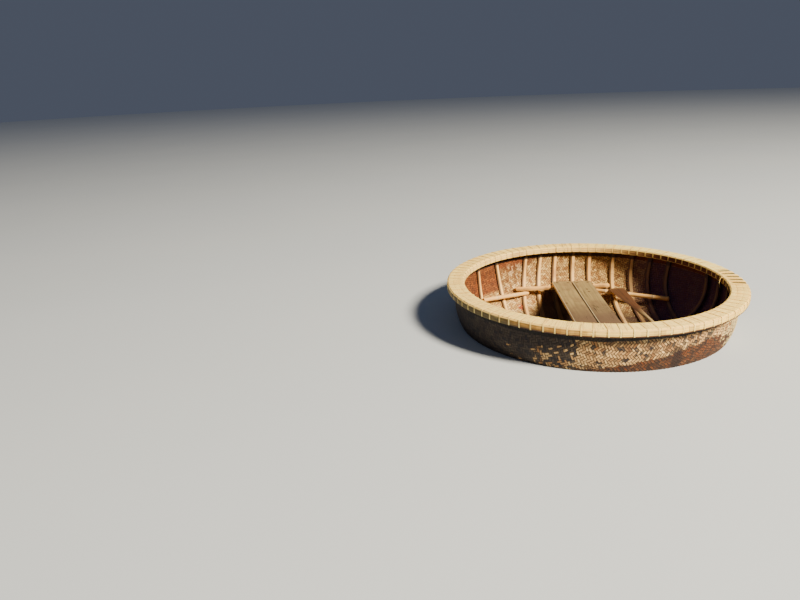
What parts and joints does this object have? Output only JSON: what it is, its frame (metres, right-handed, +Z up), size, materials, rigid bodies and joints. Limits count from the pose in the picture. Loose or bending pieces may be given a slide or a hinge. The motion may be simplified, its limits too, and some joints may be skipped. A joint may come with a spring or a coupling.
{
  "type": "coracle",
  "caption": "Round basket boat of woven split bamboo with a lashed rim of bent hoops, bent ribs, a plank thwart and a stowed paddle.",
  "frame": {"origin": "centre of the water plane, on the hull's upright axis, below the rim by the freeboard", "axes": "+Z up along the hull's axis, +Y along the thwart boards away from the viewer of the picture, +X to the right in it"},
  "size_m": [2.007, 2.0062, 0.6035],
  "materials": {
    "woven_bamboo": "matte, weathered twill weave",
    "hoop_bamboo": "matte split bamboo",
    "split_bamboo": "matte, sun-bleached",
    "lashing_cord": "matte cord",
    "rib_bamboo": "matte split bamboo",
    "weathered_board": "matte, grey sawn wood",
    "pole_bamboo": "satin bamboo skin",
    "paddle_wood": "satin, worn"
  },
  "bodies": {
    "root": {"hull_basket": "woven_bamboo", "outer_hoop": "hoop_bamboo", "inner_hoop": "hoop_bamboo", "rim_cap_strips": "split_bamboo", "rim_lashings": "lashing_cord", "ribs_lengthwise": "rib_bamboo", "ribs_crosswise": "rib_bamboo", "thwart_board_left": "weathered_board", "thwart_board_right": "weathered_board", "thwart_beam_far": "rib_bamboo", "thwart_beam_near": "rib_bamboo", "ledge_pole_far_left": "pole_bamboo", "ledge_pole_far_right": "pole_bamboo", "ledge_pole_near_left": "pole_bamboo", "ledge_pole_near_right": "pole_bamboo", "paddle": "paddle_wood"}
  },
  "joints": []
}
